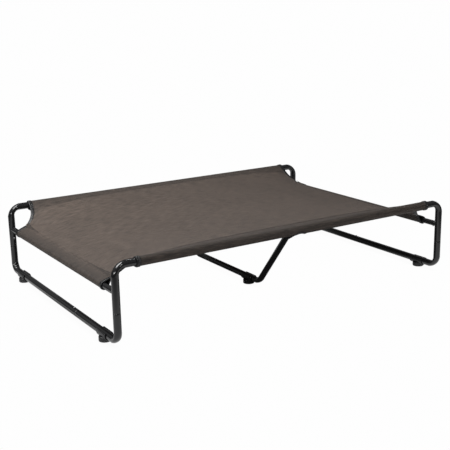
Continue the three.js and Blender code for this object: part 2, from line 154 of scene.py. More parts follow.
def distance(n):
    """How far out from the middle of the floor, 1 on an ellipse round the bed."""
    place = n.node("TexCoord").outputs["Object"]
    scaled = n.node("VectorMath", (0, place), (1, (1 / 1.75, 1 / 1.45, 0)), operation="MULTIPLY")
    return n.node("VectorMath", (0, scaled.outputs[0]), operation="LENGTH").outputs["Value"]


def make_stage(name, rings, material, turns=64):
    """Round sheet of paper through rings of (radius, height)."""
    verts = [(r * math.cos(a), r * math.sin(a), h) for r, h in rings
             for a in around(turns)]
    faces = [tuple(range(turns))]
    for i in range(len(rings) - 1):
        for k in range(turns):
            n = (k + 1) % turns
            faces.append((i * turns + k, (i + 1) * turns + k, (i + 1) * turns + n, i * turns + n))
    mesh = bpy.data.meshes.new(name)
    mesh.from_pydata(verts, [], faces)
    mesh.materials.append(material)
    made = placed(name, mesh)
    return made


def make_floor():
    """White glowing paper that the camera sees, with painted contact shadow near whatever stands on it, and
    the light that the paper near the bed throws back up.
    """
    sweep = [(0.5, 0), (1.2, 0), (3, 0), (7, 0), (8.5, 0.25), (9.5, 1.1), (9.9, 2.6), (10, 6)]
    # the paper glows, and its grey is painted darker near the feet and tubes as contact shadow
    seen = make_stage("floor", sweep, glow("floor_paper", painted_contact_shadow, (0, 0.93), (0.8, 0.99)))
    seen.visible_diffuse = seen.visible_glossy = seen.visible_shadow = seen.visible_transmission = False
    bounce = make_stage("floor_bounce", [(0.5, -0.002), (1.1, -0.002), (2.2, -0.002)],
                        glow("floor_light", distance, (0.36, 0.04), (0.46, 0.62), (0.68, 0.62), (1, 0.12)))
    bounce.visible_camera = bounce.visible_shadow = False


# ---- materials


class Nodes:
    """A node tree and the few steps its pattern needs."""

    def __init__(self, tree):
        self.tree = tree

    def node(self, kind, *inputs, **options):
        made = self.tree.nodes.new("ShaderNode" + kind)
        for key, value in options.items():
            setattr(made, key, value)
        for socket, value in inputs:
            if isinstance(value, bpy.types.NodeSocket):
                self.tree.links.new(value, made.inputs[socket])
            else:
                made.inputs[socket].default_value = value
        return made

    def maths(self, operation, a, b=0.0):
        return self.node("Math", (0, a), (1, b), operation=operation).outputs[0]

    def noise(self, place, scale, detail=2.0):
        return self.node("TexNoise", ("Vector", place), ("Scale", scale), ("Detail", detail)).outputs[0]

    def between(self, value, low, high, from_low=0.0, from_high=1.0):
        made = self.node("MapRange", ("Value", value), ("From Min", from_low), ("From Max", from_high),
                         ("To Min", low), ("To Max", high))
        return made.outputs[0]

    def mix(self, factor, a, b):
        made = self.node("Mix", (0, factor), (6, a), (7, b), data_type="RGBA")
        return made.outputs[2]

    def scaled(self, colour, factor):
        made = self.node("VectorMath", (0, colour), ("Scale", factor), operation="SCALE")
        return made.outputs[0]

    def ramp(self, value, *stops):
        """Greys between stops of (value, grey), from low to high."""
        made = self.node("ValToRGB", (0, value))
        line = made.color_ramp.elements
        first, *middle, last = stops
        line[0].position, line[1].position = first[0], last[0]
        line[0].color, line[1].color = (first[1],) * 3 + (1,), (last[1],) * 3 + (1,)
        for at, grey in middle:
            line.new(at).color = (grey,) * 3 + (1,)
        return made.outputs[0]


class Shader(Nodes):
    """A Principled material."""

    def __init__(self, name, **values):
        self.material = bpy.data.materials.new(name)
        self.material.use_nodes = True
        super().__init__(self.material.node_tree)
        self.surface = self.tree.nodes["Principled BSDF"]
        for key, value in values.items():
            self.surface.inputs[key.replace("_", " ")].default_value = value

    def bump(self, height, distance, strength=1.0):
        made = self.node("Bump", ("Height", height), ("Distance", distance), ("Strength", strength))
        self.tree.links.new(made.outputs[0], self.surface.inputs["Normal"])

    def wire(self, output, socket):
        self.tree.links.new(output, self.surface.inputs[socket])

    def object_place(self):
        return self.node("TexCoord").outputs["Object"]

    def uv_place(self, name):
        return self.node("UVMap", uv_map=name).outputs[0]


def painted_steel():
    s = Shader("painted_steel", Coat_Weight=0.45, Coat_Roughness=0.10)
    place = s.object_place()
    mottle, peel, dust = s.noise(place, 38, 4), s.noise(place, 620, 2), s.noise(place, 9, 5)
    dusty = s.between(dust, 0, 1, 0.45, 0.75)
    s.wire(s.mix(dusty, (0.0100, 0.0102, 0.0112, 1), (0.0170, 0.0170, 0.0182, 1)), "Base Color")
    s.wire(s.between(mottle, 0.10, 0.18), "Roughness")
    s.bump(peel, 0.00010, 0.5)
    return s.material


def bare_steel():
    s = Shader("spring_steel", Metallic=1.0)
    place = s.object_place()
    grain = s.noise(place, 700, 3)
    s.wire(s.mix(grain, (0.42, 0.42, 0.43, 1), (0.62, 0.62, 0.63, 1)), "Base Color")
    s.wire(s.between(s.noise(place, 160, 3), 0.22, 0.38), "Roughness")
    s.bump(grain, 0.00003, 0.6)
    return s.material


def moulded_plastic():
    s = Shader("moulded_plastic")
    place = s.object_place()
    grain = s.noise(place, 1500, 2)
    cloud = s.noise(place, 60, 3)
    s.wire(s.mix(cloud, (0.012, 0.012, 0.013, 1), (0.022, 0.022, 0.023, 1)), "Base Color")
    s.wire(s.between(cloud, 0.26, 0.38), "Roughness")
    s.bump(grain, 0.00008, 0.6)
    return s.material


def mesh_fabric():
    """Coated mesh: a fine basket weave, slight bands along the length, and darker over a tube, partly from
    the doubled cloth and the black tube showing through the mesh and partly painted shade on the sleeve.
    """
    s = Shader("sling_mesh", Sheen_Weight=0.06, Sheen_Roughness=0.4)
    split = s.node("SeparateXYZ", (0, s.uv_place("cloth")))
    along, across = split.outputs["X"], split.outputs["Y"]
    pitch = 2 * math.pi / 0.0024
    warp = s.maths("SINE", s.maths("MULTIPLY", along, pitch))
    weft = s.maths("SINE", s.maths("MULTIPLY", across, pitch))
    over = s.maths("MULTIPLY", warp, weft)
    weave = s.between(over, 0, 1, -1, 1)
    stretched = s.node("CombineXYZ", ("X", s.maths("MULTIPLY", along, 0.16)), ("Y", across))
    bands = s.noise(stretched.outputs[0], 170, 3)
    cloud = s.noise(s.uv_place("cloth"), 5, 3)
    # the sleeves are darkened by this value: partly real, the cloth doubled over a black tube, and partly
    # painted shade on the sleeve's outer face
    hem_and_shade = s.node("Attribute", attribute_name="doubled").outputs["Fac"]
    yarn = s.mix(weave, (0.046, 0.0345, 0.0275, 1), (0.186, 0.1400, 0.1120, 1))
    streaks, drift = s.between(bands, 0.58, 1.36, 0.32, 0.68), s.between(cloud, 0.92, 1.08, 0.3, 0.7)
    tone = s.maths("MULTIPLY", streaks, drift)
    tone = s.maths("MULTIPLY", tone, s.between(hem_and_shade, 0.86, 0.42))
    s.wire(s.scaled(yarn, tone), "Base Color")
    s.wire(s.between(weave, 0.78, 0.60), "Roughness")
    s.bump(weave, 0.00035, 0.7)
    return s.material


def binding_tape():
    """Ribbed black tape with a slight shine."""
    s = Shader("binding_tape", Sheen_Weight=0.03, Sheen_Roughness=0.3)
    split = s.node("SeparateXYZ", (0, s.uv_place("cloth")))
    wave = s.maths("SINE", s.maths("MULTIPLY", split.outputs["X"], 2 * math.pi / 0.0016))
    rib = s.between(wave, 0, 1, -1, 1)
    shade = s.maths("MULTIPLY", rib, s.noise(s.object_place(), 80, 2))
    s.wire(s.mix(shade, (0.006, 0.006, 0.0065, 1), (0.018, 0.018, 0.0185, 1)), "Base Color")
    s.wire(s.between(rib, 0.36, 0.24), "Roughness")
    s.bump(rib, 0.00022, 0.7)
    return s.material


def thread():
    s = Shader("thread")
    twist = s.noise(s.object_place(), 900, 1)
    s.wire(s.mix(twist, (0.018, 0.015, 0.013, 1), (0.045, 0.040, 0.036, 1)), "Base Color")
    s.wire(s.between(twist, 0.5, 0.7), "Roughness")
    return s.material


# ---- mesh helpers


def make_object(name, verts, faces, material, crease=35, uv=None):
    mesh = bpy.data.meshes.new(name)
    mesh.from_pydata([tuple(v) for v in verts], [], faces)
    shell = bmesh.new()
    shell.from_mesh(mesh)
    bmesh.ops.recalc_face_normals(shell, faces=shell.faces)
    shell.to_mesh(mesh)
    shell.free()
    mesh.polygons.foreach_set("use_smooth", [True] * len(mesh.polygons))
    mesh.set_sharp_from_angle(angle=math.radians(crease))
    if uv is not None:
        loops = np.zeros(len(mesh.loops), np.int32)
        mesh.loops.foreach_get("vertex_index", loops)
        layer = mesh.uv_layers.new(name="cloth")
        layer.data.foreach_set("uv", np.asarray(uv, np.float32)[loops].ravel())
    mesh.materials.append(material)
    return placed(name, mesh)


def joined(*parts):
    """Several (vertices, faces) islands as one."""
    verts, faces = [], []
    for part_verts, part_faces in parts:
        start = len(verts)
        verts.extend(np.asarray(part_verts, float).tolist())
        faces.extend(tuple(start + i for i in face) for face in part_faces)
    return verts, faces


def moved(part, matrix):
    return [matrix @ Vector(v) for v in part[0]], part[1]


def ring_surface(rings, closed=False, caps=False):
    """Faces over rings of equal length, each a closed loop of points."""
    verts = [p for ring in rings for p in ring]
    n, count = len(rings[0]), len(rings)
    faces = []
    for i in range(count if closed else count - 1):
        j = (i + 1) % count
        for k in range(n):
            m = (k + 1) % n
            faces.append((i * n + k, i * n + m, j * n + m, j * n + k))
    if caps:
        faces.append(tuple(reversed(range(n))))
        faces.append(tuple(range((count - 1) * n, count * n)))
    return verts, faces


def lathe(profile, turns=28):
    """Surface of revolution about Z. The profile starts and ends on the axis."""
    rings = [[(r * math.cos(a), r * math.sin(a), z) for a in around(turns)]
             for r, z in profile[1:-1]]
    verts, faces = ring_surface(rings)
    low, high = len(verts), len(verts) + 1
    verts = verts + [(0, 0, profile[0][1]), (0, 0, profile[-1][1])]
    last = (len(rings) - 1) * turns
    for k in range(turns):
        n = (k + 1) % turns
        faces.append((low, n, k))
        faces.append((high, last + k, last + n))
    return verts, faces


def around(count):
    """Angles round a circle, evenly."""
    return np.linspace(0, 2 * math.pi, count, endpoint=False)


def basis(x_axis, y_axis, z_axis, origin):
    matrix = Matrix((x_axis, y_axis, z_axis)).transposed().to_4x4()
    matrix.translation = origin
    return matrix


def subtract(made, cutter):
    """Takes the cutter's shape out of a piece, and removes the cutter."""
    cut = made.modifiers.new("cut", "BOOLEAN")
    cut.operation, cut.solver, cut.object = "DIFFERENCE", "EXACT", cutter
    bpy.context.view_layer.update()
    result = bpy.data.meshes.new_from_object(made.evaluated_get(bpy.context.evaluated_depsgraph_get()))
    made.modifiers.clear()
    old = made.data
    made.data = result
    bpy.data.meshes.remove(old)
    bpy.data.objects.remove(cutter)


def cut_holes(made, holes):
    """Round holes through one wall of a tube: each is (a point on the axis, the way out, radius)."""
    for point, out, radius in holes:
        turn = Vector(out).to_track_quat("Z", "Y").to_matrix().to_4x4()
        turn.translation = Vector(point)
        drill = moved(lathe([(0, 0.0005), (radius, 0.0005), (radius, 0.03), (0, 0.03)], 24), turn)
        subtract(made, make_object("drill", *drill, made.data.materials[0]))
    made.data.polygons.foreach_set("use_smooth", [True] * len(made.data.polygons))
    made.data.set_sharp_from_angle(angle=math.radians(35))


# ---- bent tubes


class Route:
    """A planar run of straight stretches and round bends, measured along its length."""

    def __init__(self, corners, bend, across):
        corners = [Vector(c) for c in corners]
        self.across = Vector(across)
        self.parts = []
        at = corners[0]
        length = 0.0
        for i in range(1, len(corners) - 1):
            arriving = (corners[i] - corners[i - 1]).normalized()
            leaving = (corners[i + 1] - corners[i]).normalized()
            turn = arriving.angle(leaving)
            start = corners[i] - arriving * bend * math.tan(turn / 2)
            run = (start - at).length
            self.parts.append(("line", length, run, at, arriving))
            length += run
            axis = arriving.cross(leaving).normalized()
            centre = start + axis.cross(arriving) * bend
            self.parts.append(("bend", length, turn * bend, centre, arriving, axis, bend))
            length += turn * bend
            at = corners[i] + leaving * bend * math.tan(turn / 2)
        run = (corners[-1] - at).length
        self.parts.append(("line", length, run, at, (corners[-1] - corners[-2]).normalized()))
        self.length = length + run

    def at(self, s):
        """Point, tangent, side of the section, +1 if that side is outside a bend or else -1, share."""
        for part in self.parts:
            if s <= part[1] + part[2] or part is self.parts[-1]:
                break
        if part[0] == "line":
            return part[3] + part[4] * (s - part[1]), part[4], self.across.cross(part[4]), 1, 0.0
        _, begin, run, centre, arriving, axis, bend = part
        turn = Matrix.Rotation((s - begin) / bend, 3, axis)
        spoke, tangent = turn @ (arriving.cross(axis)), turn @ arriving
        side = self.across.cross(tangent)
        return centre + spoke * bend, tangent, side, 1 if side.dot(spoke) > 0 else -1, (s - begin) / run

    def stations(self, low, high):
        found = []
        for part in self.parts:
            steps = max(2, math.ceil(part[2] / 0.0022)) if part[0] == "bend" else 1
            found += [part[1] + part[2] * k / steps for k in range(steps + 1)]
            if part[0] == "line":
                found += [part[1] + 0.0035, part[1] + part[2] - 0.0035]
        return [s for s in sorted(set(round(f, 6) for f in found)) if low < s < high]


def tube_ring(route, s, radius, sides, flat):
    """One ring of the tube. In a bend the outer wall flattens, the tube widens and the inner wall crimps."""
    point, _, side, outward, bend = route.at(s)
    across = route.across
    fade = math.sin(math.pi * bend) ** 0.7 if 0 < bend < 1 else 0.0
    ring = []
    for k in range(sides):
        a = 2 * math.pi * k / sides
        facing = outward * math.cos(a)
        outer = 0.5 + 0.5 * facing
        squeeze = 1 - flat * fade * (0.25 + 0.75 * outer)
        crimp = 0.060 * flat / 0.3 * fade * math.sin(bend * 9 * math.pi) * max(0.0, -facing) ** 3
        p = radius * math.cos(a) * (squeeze + crimp)
        q = radius * math.sin(a) * (1 + 0.22 * flat * fade)
        ring.append(point + side * p + across * q)
    return ring


def tube(route, radius, swaged=(), sides=36, flat=0.3):
    """Open steel tube with rounded rims, and a reduced end where it enters the next tube."""
    bore, spigot = radius - WALL, radius - WALL - FIT
    start, end = 0.0, route.length
    outside = []
    if "start" in swaged:
        outside += [(-SWAGE, spigot - 0.0005), (-SWAGE + 0.0008, spigot), (-0.0003, spigot)]
    outside += [(start, radius - 0.0011), (start + 0.0004, radius - 0.0004), (start + 0.0012, radius)]
    outside += [(s, radius) for s in route.stations(start + 0.0015, end - 0.0015)]
    outside += [(end - 0.0012, radius), (end - 0.0004, radius - 0.0004), (end, radius - 0.0011)]
    if "end" in swaged:
        outside += [(end + 0.0003, spigot), (end + SWAGE - 0.0008, spigot), (end + SWAGE, spigot - 0.0005)]
    inside = [(s, bore) for s in route.stations(start + 0.0015, end - 0.0015)]
    narrow = spigot - WALL
    if "start" in swaged:
        inside = [(-SWAGE, narrow), (0.002, narrow), (0.004, bore)] + inside
    else:
        inside = [(0.0, bore)] + inside
    if "end" in swaged:
        inside = inside + [(end - 0.004, bore), (end - 0.002, narrow), (end + SWAGE, narrow)]
    else:
        inside = inside + [(end, bore)]
    rings = [tube_ring(route, s, r, sides, flat) for s, r in outside + inside[::-1]]
    return ring_surface(rings, closed=True)


def straight(start, way, length, radius, bore, sides=32):
    """Short straight open tube."""
    start, way = Vector(start), Vector(way).normalized()
    helper = Vector((0, 0, 1)) if abs(way.z) < 0.9 else Vector((1, 0, 0))
    side = way.cross(helper).normalized()
    up = side.cross(way)
    profile = [(0, radius - 0.0005), (0.0005, radius), (0.002, radius), (length - 0.002, radius),
               (length - 0.0005, radius), (length, radius - 0.0005), (length, bore), (0, bore)]
    rings = [[start + way * s + side * r * math.cos(a) + up * r * math.sin(a) for a in around(sides)]
             for s, r in profile]
    return ring_surface(rings, closed=True)


def weld_bead(centre, way, radius, sides=44):
    """Rippled bead of weld metal around a stub."""
    centre, way = Vector(centre), Vector(way).normalized()
    helper = Vector((1, 0, 0)) if abs(way.x) < 0.9 else Vector((0, 0, 1))
    side = way.cross(helper).normalized()
    up = side.cross(way)
    rings = []
    for k in range(sides):
        a = 2 * math.pi * k / sides
        out = side * math.cos(a) + up * math.sin(a)
        fat = 0.0017 + 0.0003 * math.sin(11 * a)
        saddle = -0.5 * (radius * math.sin(a)) ** 2 / 0.013
        middle = centre + out * radius + way * saddle
        rings.append([middle + out * fat * math.cos(b) + way * fat * math.sin(b) for b in around(8)])
    return ring_surface(rings, closed=True)


def finish_piece(made, node, body="frame"):
    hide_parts(node)
    ride_as(made, body)


def ride_as(made, body="frame"):
    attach(made, body)


def stub_way(end):
    rail = Vector((MIDDLE_X, ENDS[end] * HALF_WIDTH, RAIL_Z))
    bend = Vector((MIDDLE_X, ENDS[end] * MIDDLE_TOP[0], MIDDLE_TOP[1]))
    return rail, (bend - rail).normalized()


def make_rail(side, end):
    x, y = SIDES[side] * HALF_LENGTH, ENDS[end] * HALF_WIDTH
    inward = Vector((0, -ENDS[end], 0))
    start = MIDDLE_X + SIDES[side] * (CONNECTOR_HALF + GAP)
    route = Route([(start, y, RAIL_Z), (x, y, RAIL_Z), (x, y, JOINT_Z + GAP / 2)], CORNER_BEND, (0, 1, 0))
    node = f"rail_{end}_{side}"
    made = make_object(node + "_tube", *tube(route, TUBE_R, ("start",)), paint)
    cut_holes(made, [((x, y, JOINT_Z + BUTTON_INSET), inward, BUTTON_HOLE_R)])
    finish_piece(made, node)
    stub = straight(Vector((x, y, CROSS_Z)) + inward * (TUBE_R - WALL), inward, STUB_REACH, STUB_R, STUB_BORE)
    made = make_object(node + "_stub", *stub, paint)
    cut_holes(made, [((x, y - ENDS[end] * CROSS_BUTTON, CROSS_Z), (0, 0, -1), BUTTON_HOLE_R)])
    ride_as(made)


def make_floor_tube(side, end):
    x, y = SIDES[side] * HALF_LENGTH, ENDS[end] * HALF_WIDTH
    joint = FLOOR_JOINT_Y[side]
    front = end == "front"
    route = Route([(x, y, JOINT_Z - GAP / 2), (x, y, FLOOR_Z), (x, joint - GAP if front else joint, FLOOR_Z)],
                  CORNER_BEND, (1, 0, 0))
    node = f"floor_tube_{end}_{side}"
    made = make_object(node + "_tube", *tube(route, TUBE_R, ("start", "end") if front else ("start",)), paint)
    holes = [((x, y, JOINT_Z + BUTTON_INSET), (0, -ENDS[end], 0), BUTTON_HOLE_R),
             ((x, joint + BUTTON_INSET, FLOOR_Z), (0, 0, 1), BUTTON_HOLE_R)]
    cut_holes(made, holes)
    finish_piece(made, node)


def make_cross_tube(side, turns=36):
    """Tube between the legs. Each end is shaped to the round of its leg."""
    x = SIDES[side] * HALF_LENGTH
    rings = []
    edge = [(0.0088, 0), (0.0096, 0.0004), (0.010, 0.0014), (0.010, 0.004)]
    for sign, rims in ((-1, edge), (1, edge[::-1])):
        for radius, back in rims:
            ring = []
            for a in around(turns):
                off = radius * math.cos(a)
                reach = HALF_WIDTH - math.sqrt((TUBE_R + GAP) ** 2 - off ** 2) - back
                ring.append((x + off, sign * reach, CROSS_Z + radius * math.sin(a)))
            rings.append(ring)
    node = f"cross_tube_{side}"
    made = make_object(node + "_tube", *ring_surface(rings, closed=True), paint)
    buttons = [(x, sign * (HALF_WIDTH - CROSS_BUTTON), CROSS_Z) for sign in (-1, 1)]
    cut_holes(made, [(place, (0, 0, -1), BUTTON_HOLE_R) for place in buttons])
    finish_piece(made, node)


def make_connector(end):
    rail, way = stub_way(end)
    start = rail - Vector((CONNECTOR_HALF, 0, 0))
    sleeve = straight(start, (1, 0, 0), 2 * CONNECTOR_HALF, TUBE_R, TUBE_R - WALL)
    stub = straight(rail + way * 0.0115, way, MIDDLE_STUB_REACH, MIDDLE_STUB_R, MIDDLE_STUB_BORE)
    bead = weld_bead(rail + way * 0.0128, way, MIDDLE_STUB_R + 0.0004)
    node = f"rail_connector_{end}"
    made = make_object(node + "_sleeve", *joined(sleeve, stub, bead), paint)
    finish_piece(made, node)


def make_middle_support(end):
    rail, way = stub_way(end)
    sign, front = ENDS[end], end == "front"
    joint = FLOOR_JOINT_Y["middle"]
    corners = [rail + way * 0.016, (MIDDLE_X, sign * MIDDLE_TOP[0], MIDDLE_TOP[1]),
               (MIDDLE_X, sign * MIDDLE_FOOT, FLOOR_Z), (MIDDLE_X, joint - GAP if front else joint, FLOOR_Z)]
    route = Route(corners, MIDDLE_BEND, (1, 0, 0))
    node = f"middle_support_{end}"
    made = make_object(node + "_tube", *tube(route, MIDDLE_R, ("end",) if front else (), flat=0.16), paint)
    holes = [(rail + way * MIDDLE_BUTTON, (-1, 0, 0), BUTTON_HOLE_R),
             ((MIDDLE_X, joint + BUTTON_INSET, FLOOR_Z), (-1, 0, 0), BUTTON_HOLE_R)]
    cut_holes(made, holes)
    finish_piece(made, node)


# ---- buttons and feet


def make_button(place, on_axis, along, out, bore, outer):
    """Domed pin on its leaf. Local Z is the way out and X runs along the tube."""
    along, out = Vector(along), Vector(out)
    flange = math.sqrt(bore ** 2 - 0.0037 ** 2) - 0.0006
    top, r = outer + 0.0028, 0.0028
    profile = [(0, flange - 0.0012), (0.0035, flange - 0.0012), (0.0037, flange - 0.001),
               (0.0037, flange - 0.0001), (0.0036, flange), (r, flange)]
    for a in np.linspace(0, math.pi / 2, 9)[:-1]:
        profile.append((r * math.cos(a) ** 0.8, top - 0.0018 + 0.0018 * math.sin(a)))
    profile.append((0, top))
    leaf_top = flange - 0.0008
    rings = []
    for s in np.linspace(-0.0036, 0.016, 9):
        sink = 0.00035 * max(0.0, (s - 0.004) / 0.012) ** 2
        low, high = leaf_top - 0.0008 - sink, leaf_top - sink
        rings.append([(s, -0.002, low), (s, 0.002, low), (s, 0.002, high), (s, -0.002, high)])
    leaf = ring_surface(rings, caps=True)
    part = moved(joined(lathe(profile, 24), leaf), basis(along, out.cross(along), out, Vector(on_axis)))
    node = "button_" + place
    made = make_object(node + "_pin", *part, steel)
    finish_piece(made, node, body=node)


def make_buttons():
    bore, middle_bore = 0.0096, 0.0081
    for side, sx in SIDES.items():
        x = sx * HALF_LENGTH
        for end, sy in ENDS.items():
            y = sy * HALF_WIDTH
            make_button(f"leg_{end}_{side}", (x, y, JOINT_Z + BUTTON_INSET), (0, 0, -1), (0, -sy, 0),
                        bore, TUBE_R)
            make_button(f"cross_{end}_{side}", (x, y - sy * CROSS_BUTTON, CROSS_Z), (0, -sy, 0), (0, 0, -1),
                        0.0071, CROSS_R)
        make_button(f"floor_{side}", (x, FLOOR_JOINT_Y[side] + BUTTON_INSET, FLOOR_Z), (0, 1, 0), (0, 0, 1),
                    bore, TUBE_R)
    make_button("floor_middle", (MIDDLE_X, FLOOR_JOINT_Y["middle"] + BUTTON_INSET, FLOOR_Z), (0, 1, 0),
                (-1, 0, 0), middle_bore, MIDDLE_R)
    for end in ENDS:
        rail, way = stub_way(end)
        make_button(f"middle_{end}", rail + way * MIDDLE_BUTTON, way, (-1, 0, 0), middle_bore, MIDDLE_R)


def clip_section(tube_r):
    """C-shaped outline of the clip, round a tube along Y, with flared and rounded lips."""
    inner, outer = tube_r + 0.0005, tube_r + 0.0036
    lip = math.radians(55)
    first, last = math.pi / 2 + lip, 2.5 * math.pi - lip
    outline = []
    for start, stop, radius, beyond, flare, sign in ((first, last, outer, inner, 0.0011, 1),
                                                     (last, first, inner, outer, 0.0009, -1)):
        for a in np.linspace(start, stop, 41):
            out = radius + flare * max(0.0, math.sin(a)) ** 2
            outline.append((out * math.cos(a), out * math.sin(a)))
        for turn in (0.25, 0.5, 0.75):
            out = radius + (beyond - radius) * turn + 0.0011
            a = stop + sign * 0.09 * math.sin(math.pi * turn)
            outline.append((out * math.cos(a), out * math.sin(a)))
    return np.array(outline)


def inset(outline, amount):
    ahead, behind = np.roll(outline, -1, 0), np.roll(outline, 1, 0)
    run = ahead - behind
    run /= np.linalg.norm(run, axis=1)[:, None]
    return outline + np.stack([-run[:, 1], run[:, 0]], 1) * amount


def foot_pad(x, y, tube_r):
    """Round pad with a grooved side, hollowed for the tube that lies in it."""
    pad = lathe([(0, 0.0008), (0.0150, 0.0008), (0.0158, 0.0002), (0.0164, 0.0), (0.0188, 0.0),
                 (0.0200, 0.0004), (0.0207, 0.0014), (0.021, 0.0028), (0.021, 0.0060), (0.0207, 0.0063),
                 (0.0207, 0.0067), (0.021, 0.0070), (0.0209, 0.0140), (0.0206, 0.0156), (0.0198, 0.0166),
                 (0.0186, 0.017), (0, 0.017)], 56)
    pad = moved(pad, Matrix.Translation((x, y, 0)))
    room = straight((x, y - 0.03, FLOOR_Z), (0, 1, 0), 0.06, tube_r + 0.0007, 0.0002)
    base = make_object("pad", *pad, plastic)
    cutter = make_object("room", *room, plastic)
    subtract(base, cutter)
    verts = [v.co.copy() for v in base.data.vertices]
    faces = [tuple(p.vertices) for p in base.data.polygons]
    bpy.data.objects.remove(base)
    return verts, faces


def make_foot(node, x, y, tube_r):
    outline = clip_section(tube_r)
    half = ((0.0105, 0.0), (CLIP_HALF - 0.0015, 0.0), (CLIP_HALF - 0.0005, 0.0003), (CLIP_HALF, 0.0009))
    rings = []
    for at, amount in [(-at, amount) for at, amount in half[::-1]] + list(half):
        rings.append([(x + p[0], y + at, FLOOR_Z + p[1]) for p in inset(outline, amount)])
    clip = ring_surface(rings, caps=True)
    ribs = []
    for sign in (-1, 1):
        rib = []
        for at, thick in ((0.0190, 0.0012), (0.029, 0.0010)):
            height = 0.0060 if at < 0.02 else 0.0004
            low = FLOOR_Z - tube_r - 0.0030 - height
            high = FLOOR_Z - tube_r - 0.0022
            rib.append([(x - thick, y + sign * at, low), (x + thick, y + sign * at, low),
                        (x + thick, y + sign * at, high), (x - thick, y + sign * at, high)])
        ribs.append(ring_surface(rib if sign > 0 else rib[::-1], caps=True))
    made = make_object(node + "_moulding", *joined(clip, foot_pad(x, y, tube_r), *ribs), plastic)
    finish_piece(made, node)


def make_feet():
    for side, sx in SIDES.items():
        for end, sy in ENDS.items():
            make_foot(f"foot_{side}_{end}", sx * HALF_LENGTH, sy * FOOT_Y, TUBE_R)
    make_foot("foot_middle", MIDDLE_X, MIDDLE_FOOT_Y, MIDDLE_R)


# ---- the cloth


def ripples(x, seed):
    """Uneven gathers along a seam, about 15 to 40 mm apart."""
    waves = ((1, 171, 1), (0.8, 263, 2.1), (0.6, 397, 3.7))
    return sum(size * np.sin(x * turn + shift * seed) for size, turn, shift in waves) / 2.4


# Folds pulled in by the corners: start and end on the plan at the corner +X +Y, depth and half width.
FOLDS = [((0.632, 0.372), (0.450, 0.120), -0.0062, 0.0075), ((0.644, 0.352), (0.606, 0.020), -0.0052, 0.006),
         ((0.626, 0.384), (0.520, 0.270), 0.0022, 0.010), ((0.600, 0.405), (0.440, 0.340), -0.0030, 0.010)]


def taut(x, y):
    """Height of the cloth away from the sleeves: a membrane between high rails and low cross tubes."""
    end_z, rail_z = CROSS_Z + END_LOOP_R - 0.0004, RAIL_Z + RAIL_LOOP_R - 0.0004
    turn = math.pi / (2 * HALF_WIDTH)
    from_rails = np.maximum(np.cos(turn * y), 1e-6)
    share = 1.0
    for sign in (-1, 1):
        from_end = np.sinh(turn * np.maximum(HALF_LENGTH - sign * x, 0))
        share = share * (1 - np.arctan2(from_rails, from_end) / (math.pi / 2))
    return end_z + (rail_z - end_z) * share


def folds(x, y):
    """Depth of the folds and of the gathers beside the seams."""
    total = -DIP * np.exp(-((np.abs(x) - 0.640) / 0.036) ** 2 - ((np.abs(y) - 0.388) / 0.046) ** 2)
    for k, (sx, sy) in enumerate(((-1, -1), (-1, 1), (1, -1), (1, 1))):
        for n, (start, end, depth, width) in enumerate(FOLDS):
            vary = 1 + 0.30 * math.sin(2.3 * k + 1.7 * n)
            a = np.array([sx * start[0], sy * start[1]])
            b = np.array([sx * (end[0] + 0.02 * math.sin(3.1 * k + n)),
                          sy * (end[1] + 0.03 * math.cos(2.2 * k + n))])
            run = b - a
            length = np.linalg.norm(run)
            t = ((x - a[0]) * run[0] + (y - a[1]) * run[1]) / length ** 2
            off = ((x - a[0]) * run[1] - (y - a[1]) * run[0]) / length
            spread = width * (0.7 + 0.9 * np.clip(t, 0, 1))
            along = np.clip(t * 6 + 0.5, 0, 1) * np.clip(1 - t, 0, 1) ** 1.2
            total += depth * vary * along * np.exp(-((off / spread) ** 2))
    for sign in (-1, 1):
        near_rail = np.exp(-(((HALF_WIDTH - sign * y) - RAIL_SEAM - 0.006) / 0.013) ** 2)
        total += 0.00055 * near_rail * ripples(x, 1.3 + sign)
        near_end = np.exp(-(((HALF_LENGTH - sign * x) - END_SEAM - 0.008) / 0.012) ** 2)
        total += 0.00055 * near_end * ripples(y, 4.1 + sign)
    return total


def edge_x(y):
    """X of the cut edge at a Y beside a corner cut-out."""
    inside = np.clip((HALF_WIDTH - np.minimum(np.abs(y), HALF_WIDTH)) / (HALF_WIDTH - CROSS_END_Y), 0, 1)
    return HALF_LENGTH - (HALF_LENGTH - RAIL_END_X) * (1 - inside ** ROUNDNESS) ** (1 / ROUNDNESS)


def edge_y(x):
    inside = np.clip((HALF_LENGTH - np.minimum(np.abs(x), HALF_LENGTH)) / (HALF_LENGTH - RAIL_END_X), 0, 1)
    return HALF_WIDTH - (HALF_WIDTH - CROSS_END_Y) * (1 - inside ** ROUNDNESS) ** (1 / ROUNDNESS)


CORNER_Y = float(edge_y(HALF_LENGTH - END_STRIP))


